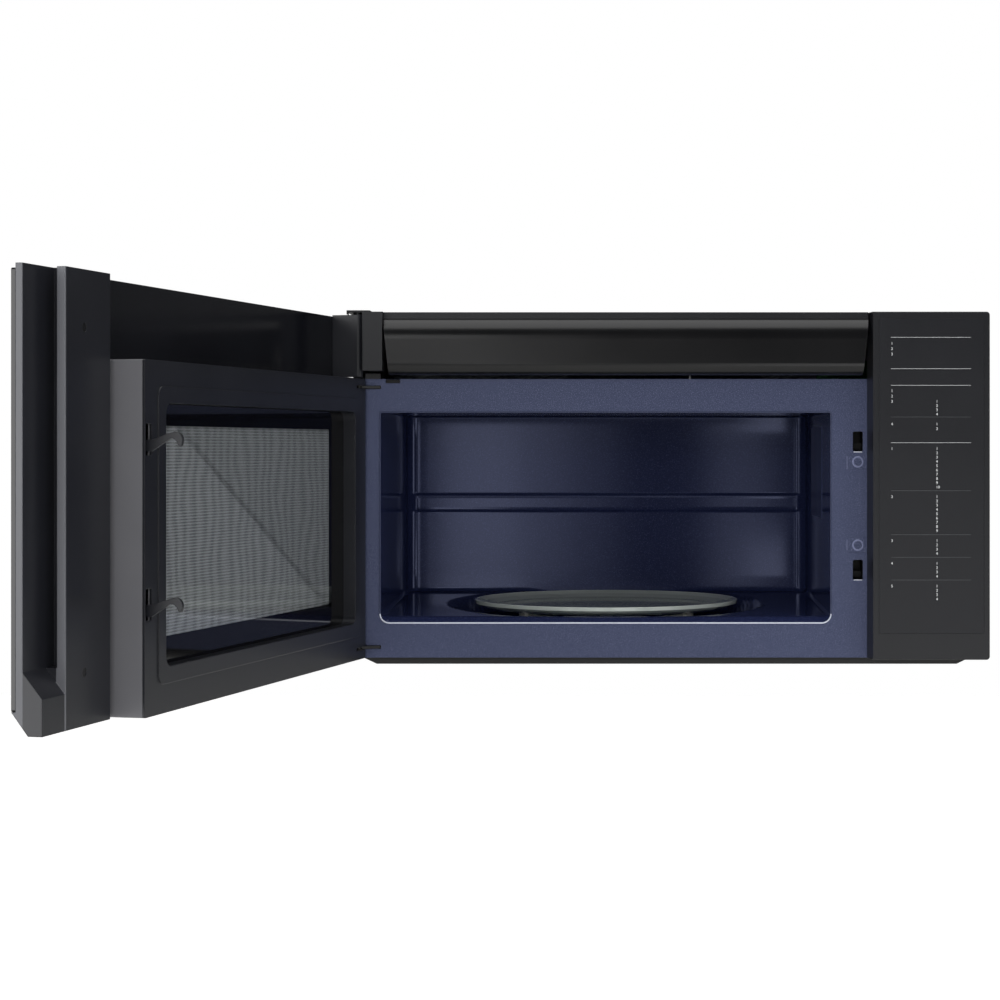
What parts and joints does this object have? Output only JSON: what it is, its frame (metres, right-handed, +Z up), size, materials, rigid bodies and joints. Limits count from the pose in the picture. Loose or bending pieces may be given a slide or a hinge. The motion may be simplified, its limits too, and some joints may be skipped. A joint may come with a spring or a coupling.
{
  "type": "over-the-range microwave",
  "caption": "Over-the-range microwave oven with a full-width door swung open, turntable, vent blower, grease filters and a side control zone",
  "frame": {"origin": "centre of the flat rear face, where the oven hangs on the wall", "axes": "+Y into the wall, +X to the right as seen from the front, +Z up"},
  "size_m": [0.9696, 1.124, 0.4259],
  "materials": {
    "front_enamel": "speckled vitreous enamel, satin",
    "cavity_enamel": "speckled dark enamel, glossy",
    "zinc_sheet": "zinc-coated sheet",
    "casing_paint": "fine-grain powder coat",
    "dark_plastic": "fine spark-eroded grain",
    "film": "satin printed film",
    "black_glass": "tempered, black backed",
    "clear_glass": "clear pane",
    "tray_glass": "pressed tempered glass",
    "screen_steel": "perforated, painted",
    "steel": "zinc plated",
    "white_plastic": "moulded",
    "circuit_board": "solder resist",
    "mica": "mica sheet",
    "copper": "enamelled copper",
    "alloy_mesh": "expanded aluminium mesh",
    "carbon": "charcoal granules in a frame",
    "lamp_glass": "bulb glass"
  },
  "bodies": {
    "cabinet": {"face_plate": "front_enamel", "cavity_liner": "cavity_enamel", "rear_plate": "zinc_sheet", "side_panel_left": "casing_paint", "side_panel_right": "casing_paint", "top_cover": "casing_paint", "base_pan": "casing_paint", "label_panel": "dark_plastic", "label_film": "film", "top_rail": "dark_plastic", "air_deflector": "dark_plastic", "hinge_bracket_top": "casing_paint", "hinge_leaf_upper": "steel", "hinge_leaf_lower": "steel", "hinge_pins": "steel", "latch_body": "white_plastic", "latch_screws": "steel", "interlock_switches": "dark_plastic", "control_board": "circuit_board", "line_filter_board": "circuit_board", "magnetron": "zinc_sheet", "waveguide": "zinc_sheet", "waveguide_cover": "mica", "transformer": "copper", "capacitor": "steel", "cooling_fan_housing": "zinc_sheet", "cooling_fan_motor": "steel", "turntable_motor": "steel", "vent_blower_housing": "zinc_sheet", "vent_blower_motor": "steel", "charcoal_filter": "carbon", "cooktop_lamps": "lamp_glass", "lamp_lenses": "clear_glass", "cavity_lamp": "lamp_glass", "steam_sensor": "steel", "cord_bush": "dark_plastic"},
    "door": {"door_glass": "black_glass", "door_frame": "dark_plastic", "handle_rail": "dark_plastic", "handle_screws": "steel", "touch_board": "circuit_board", "choke_frame": "screen_steel", "choke_cover": "dark_plastic", "window_mesh": "screen_steel", "inner_glass": "clear_glass", "hinge_block": "dark_plastic", "hinge_bushes": "white_plastic"},
    "latch_key": {"latch_key": "dark_plastic", "latch_spring": "steel"},
    "turntable": {"turntable_coupler": "white_plastic", "glass_tray": "tray_glass"},
    "roller_ring": {"roller_ring": "white_plastic"},
    "roller_1": {"roller_1": "white_plastic"},
    "roller_2": {"roller_2": "white_plastic"},
    "roller_3": {"roller_3": "white_plastic"},
    "grease_filter_left": {"grease_filter_left": "alloy_mesh"},
    "grease_filter_right": {"grease_filter_right": "alloy_mesh"},
    "cooling_fan_blades": {"cooling_fan_blades": "white_plastic"},
    "vent_blower_wheels": {"vent_blower_wheels": "white_plastic"}
  },
  "joints": [
    {"name": "door_hinge", "type": "hinge", "parent": "cabinet", "child": "door", "pos_m": [-0.372, -0.397, 0], "axis": [0, 0, 1], "range_deg": [0, 103]},
    {"name": "latch_lift", "type": "slide", "parent": "door", "child": "latch_key", "axis": [0, 0, 1], "range_m": [0, 0.006], "stiffness_N_per_m": 150, "springref_m": -0.02, "deforming": ["latch_spring"]},
    {"name": "turntable_spin", "type": "hinge", "parent": "cabinet", "child": "turntable", "pos_m": [-0.0767, -0.2, -0.16], "axis": [0, 0, 1], "continuous": true},
    {"name": "roller_ring_spin", "type": "hinge", "parent": "cabinet", "child": "roller_ring", "pos_m": [-0.0767, -0.2, -0.1631], "axis": [0, 0, 1], "continuous": true},
    {"name": "grease_filter_left_slide", "type": "slide", "parent": "cabinet", "child": "grease_filter_left", "axis": [-1, 0, 0], "range_m": [0, 0.011]},
    {"name": "grease_filter_right_slide", "type": "slide", "parent": "cabinet", "child": "grease_filter_right", "axis": [1, 0, 0], "range_m": [0, 0.011]},
    {"name": "cooling_fan_spin", "type": "hinge", "parent": "cabinet", "child": "cooling_fan_blades", "pos_m": [0.292, -0.04, 0.024], "axis": [0, 1, 0], "continuous": true},
    {"name": "vent_blower_spin", "type": "hinge", "parent": "cabinet", "child": "vent_blower_wheels", "pos_m": [0, -0.095, 0.155], "axis": [1, 0, 0], "continuous": true},
    {"name": "roller_1_spin", "type": "hinge", "parent": "roller_ring", "child": "roller_1", "pos_m": [-0.0767, -0.0816, -0.1631], "axis": [0, 1, 0], "continuous": true},
    {"name": "roller_2_spin", "type": "hinge", "parent": "roller_ring", "child": "roller_2", "pos_m": [-0.17924, -0.2592, -0.1631], "axis": [-0.866, -0.5, 0], "continuous": true},
    {"name": "roller_3_spin", "type": "hinge", "parent": "roller_ring", "child": "roller_3", "pos_m": [0.02584, -0.2592, -0.1631], "axis": [0.866, -0.5, 0], "continuous": true}
  ],
  "couplings": [
    {"joint": "roller_ring_spin", "follows": "turntable_spin", "ratio": 0.5},
    {"joint": "roller_1_spin", "follows": "turntable_spin", "ratio": -7.6883},
    {"joint": "roller_2_spin", "follows": "turntable_spin", "ratio": -7.6883},
    {"joint": "roller_3_spin", "follows": "turntable_spin", "ratio": -7.6883}
  ]
}
